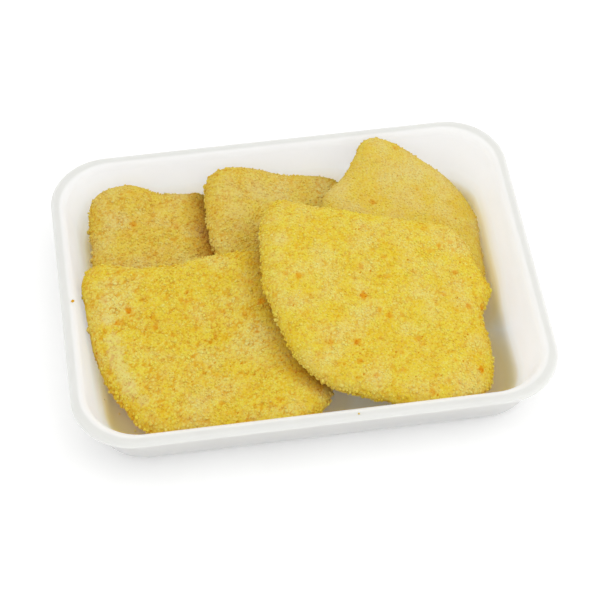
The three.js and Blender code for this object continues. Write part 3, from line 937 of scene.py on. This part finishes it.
# %% Breadcrumb materials
# The brown tints some grains at random, and is also painted shade in the gaps and crevices. The darkest brown
# is a painted shadow beside a cutlet that covers the crumb.
BRIGHT_CRUMB = {
    "pale": "e5e19f", "yellow": "e6d84e", "golden": "e5cc38", "brown_and_shade": "d69008",
    "toasted": "dc8a06", "flour": "e4d99f", "batter": "e3ba2d", "pinhole": "d08a0f", "damp": "a0560a",
}
DUSKY_CRUMB = {
    "pale": "e2dba0", "yellow": "e1ce53", "golden": "e1c448", "brown_and_shade": "ce8a10",
    "toasted": "d6880e", "flour": "e1d49f", "batter": "dcb43e", "pinhole": "c98816", "damp": "964800",
}
LOW_CRUMB_SHADE = 0.5  # how much painted shade, in brown, a crumb takes on where it goes down into the batter
LOW_HEIGHT, FREE_HEIGHT = -0.1 * MM, 0.35 * MM  # over the batter; between them that painted shade fades away
CRUMB_LIGHT_DEPTH = 0.6 * MM
CRUMB_PORE, PORE_DEPTH = 0.25 * MM, 0.08 * MM
FINE_CRUMB, FINE_CRUMB_DEPTH = 0.8 * MM, 0.2 * MM  # the dust stuck in the batter
PALE_SIZE, PATCH_SIZE, FLECK_SIZE = 16 * MM, 7 * MM, 1.6 * MM


def crumb_colour(tree, place, colours, tone):
    """The wandering colour of the crumb, with its toasted and rubbed marks and its painted shade."""
    patch = noise(tree, place, PATCH_SIZE, 3.0)
    fleck = noise(tree, place, FLECK_SIZE)
    paling = noise(tree, place, PALE_SIZE, 4.0)
    colour = blend_colours(tree, spread(tree, patch, 0.36, 0.62), colours["golden"], colours["yellow"])
    tints = [
        (spread(tree, paling, 0.45, 0.68, 0, 0.5), "pale"),
        (spread(tree, fleck, 0.5, 0.78, 0, 0.3), "pale"),
        (spread(tree, tone, 0.5, 1.0, 0, 0.2), "pale"),
        (spread(tree, tone, 0.0, 0.25, 0.15, 0), "brown_and_shade"),
        # painted shade in the gaps between clumps, in brown, where the darker coat also shows
        (spread(tree, attribute(tree, "gap"), 0.1, 0.8, 0, 0.78), "brown_and_shade"),
        (spread(tree, attribute(tree, "rubbed"), 0.1, 1, 0, 0.38), "flour"),
        # painted shadow, dark brown, beside a cutlet that covers the crumb from the light
        (spread(tree, attribute(tree, "damp"), 0, 0.9, 0, 0.9), "damp"),
        (spread(tree, attribute(tree, "toasted"), 0, 0.9, 0, 0.92), "toasted"),
    ]
    for share, name in tints:
        colour = blend_colours(tree, share, colour, colours[name])
    return colour


def make_dry(shader, roughness):
    """Sets the shader to dry crumb: very rough, hardly shiny, and light goes a little way into it."""
    shader.inputs["Roughness"].default_value = roughness
    shader.inputs["IOR"].default_value = 1.45
    shader.inputs["Specular IOR Level"].default_value = 0.06
    shader.inputs["Subsurface Weight"].default_value = 0.15
    shader.inputs["Subsurface Radius"].default_value = (1.0, 0.8, 0.5)
    shader.inputs["Subsurface Scale"].default_value = CRUMB_LIGHT_DEPTH


def crumb_material(name, colours):
    material, tree, shader, place = new_material(name)
    make_dry(shader, 0.9)
    colour = crumb_colour(tree, place, colours, attribute(tree, "tone"))
    # Painted shade in the crevices: the crumb browns low down, near the batter.
    low = spread(tree, attribute(tree, "height"), LOW_HEIGHT, FREE_HEIGHT, LOW_CRUMB_SHADE, 0)
    tree.links.new(blend_colours(tree, low, colour, colours["brown_and_shade"]), shader.inputs["Base Color"])
    bump(tree, noise(tree, place, CRUMB_PORE), 0.3, PORE_DEPTH)
    return material


def batter_material(name, colours):
    """The crust under the grains: finer crumb stuck in batter, with brown pinholes."""
    material, tree, shader, place = new_material(name)
    make_dry(shader, 0.85)
    grains = cells(tree, place, FINE_CRUMB)
    tone = add(tree, "ShaderNodeSeparateColor", {0: grains["Color"]}).outputs[0]
    colour = crumb_colour(tree, place, colours, tone)
    unrubbed = maths(tree, "SUBTRACT", 1, attribute(tree, "rubbed"))
    gaps = times(tree, spread(tree, grains["Distance"], 0.3, 0.7, 0, 0.5), unrubbed)
    colour = blend_colours(tree, gaps, colour, colours["batter"])
    holes = spread(tree, attribute(tree, "pinhole"), 0.1, 0.7)
    colour = blend_colours(tree, holes, colour, colours["pinhole"])
    tree.links.new(colour, shader.inputs["Base Color"])
    bump(tree, maths(tree, "SUBTRACT", 0.6, grains["Distance"]), 0.5, FINE_CRUMB_DEPTH)
    return material


crumb_finishes = {
    "bright": crumb_material("yellow breadcrumb", BRIGHT_CRUMB),
    "dusky": crumb_material("tan breadcrumb", DUSKY_CRUMB),
}
batter_finishes = {
    "bright": batter_material("batter under yellow crumb", BRIGHT_CRUMB),
    "dusky": batter_material("batter under tan crumb", DUSKY_CRUMB),
}


# %% Sow the crumbs
def triangles(piece):
    return sum(len(polygon.vertices) - 2 for polygon in piece.data.polygons)


def coat_cutlets():
    tree = coat_tree()
    for number, (cutlet, core) in enumerate(cores.items()):
        finish = "bright" if cutlet.startswith("front") else "dusky"
        proud = SMOOTH_CRUST_PROUD + (1 - SMOOTH_CRUST_PROUD) * CLUMPINESS[cutlet]
        coat = new_object("crumbs_" + cutlet, core.data.copy())
        use_tree(coat, tree, {
            "Crumbs": crumb_kinds,
            "Spacing": CRUMB_SPACING,
            "Smallest": CRUMB_SMALLEST,
            "Largest": CRUMB_LARGEST,
            "Lowest": CRUMB_LOWEST,
            "Proudest": CRUMB_PROUDEST * proud,
            "Seed": number,
            "Material": crumb_finishes[finish],
        })
        core.data.materials.append(batter_finishes[finish])
        for piece in (core, coat):
            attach(piece, "root")
            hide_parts("schnitzel_" + cutlet)
            print(piece.name, triangles(piece), "triangles")


coat_cutlets()


# %% [markdown]
# ## Loose crumbs
#
# A few crumbs have come off. Most lie on the tray's floor in front, and two on its rim. Each is dropped with
# a ray straight down onto the tray's skin. They are so few that a loop can make them.

# %% Loose crumbs
LOOSE_CRUMBS = 14
LOOSE_NEAR = 5 * MM  # no further than this from a cutlet
LOOSE_TOP = 6 * MM  # no higher than this up the walls
LOOSE_BACK = -20 * MM  # no further back, as the tray has been tipped forwards
LOOSE_ACROSS = 0.6 * MM, 1.5 * MM
LOOSE_STRETCH = (1.15, 0.9, 0.8, 1)
LOOSE_JITTER = 0.8, 1.2
LOOSE_SUNK = 0.3  # the height of a loose crumb's middle, as a share of its width
PLACED_CRUMBS = [(-106.7, -0.9, 1.7, 0.6), (15.7, -84.9, 1.0, 0.3)]  # x, y, width in millimetres, how toasted


def drop_points(skin):
    """(place, size, toasted) of each loose crumb."""
    chance = random.Random("loose crumbs")
    half_x, half_y = TRAY_LENGTH / 2 - LIP_WIDTH, TRAY_WIDTH / 2 - LIP_WIDTH
    dropped = []
    for x, y, across, toasted in PLACED_CRUMBS:
        dropped.append((skin.ray_cast(Vector((x * MM, y * MM, 1)), -UP)[0], across * MM, toasted))
    while len(dropped) < LOOSE_CRUMBS:
        above = Vector((chance.uniform(-half_x, half_x) * MM, chance.uniform(-half_y, half_y) * MM, 1))
        place = skin.ray_cast(above, -UP)[0]
        under_food = food.ray_cast(above, -UP)[0] is not None
        on_floor = place.y < LOOSE_BACK and place.z < LOOSE_TOP
        if on_floor and not under_food and nearest_food(place) < LOOSE_NEAR:
            toasted = max(chance.uniform(-1, 0.8), 0)
            dropped.append((place, chance.uniform(*LOOSE_ACROSS), toasted))
    return dropped


def make_loose_crumbs():
    skin = BVHTree.FromPolygons([v.co for v in tray.data.vertices], [f.vertices for f in tray.data.polygons])
    chance = random.Random("shapes of loose crumbs")
    shape = bmesh.new()
    toasteds = []
    for place, across, toasted in drop_points(skin):
        turn = Matrix.Rotation(chance.uniform(0, math.tau), 4, "Z")
        at = Matrix.Translation(place + UP * across * LOOSE_SUNK) @ turn @ Matrix.Diagonal(LOOSE_STRETCH)
        crumb = bmesh.ops.create_icosphere(shape, subdivisions=1, radius=across / 2, matrix=at)
        for corner in crumb["verts"]:
            centre = at.translation
            corner.co = centre + (corner.co - centre) * chance.uniform(*LOOSE_JITTER)
            toasteds.append(toasted)
    mesh = bpy.data.meshes.new("loose_crumbs")
    shape.to_mesh(mesh)
    shape.free()
    mesh.shade_smooth()
    mesh.attributes.new("toasted", "FLOAT", "POINT").data.foreach_set("value", toasteds)
    for name, value in {"height": 1 * MM, "tone": 0.5}.items():
        mesh.attributes.new(name, "FLOAT", "POINT").data.foreach_set("value", [value] * len(toasteds))
    mesh.materials.append(crumb_finishes["bright"])
    crumbs = new_object(mesh.name, mesh)
    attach(crumbs, "root")
    print(LOOSE_CRUMBS, "loose crumbs")


make_loose_crumbs()
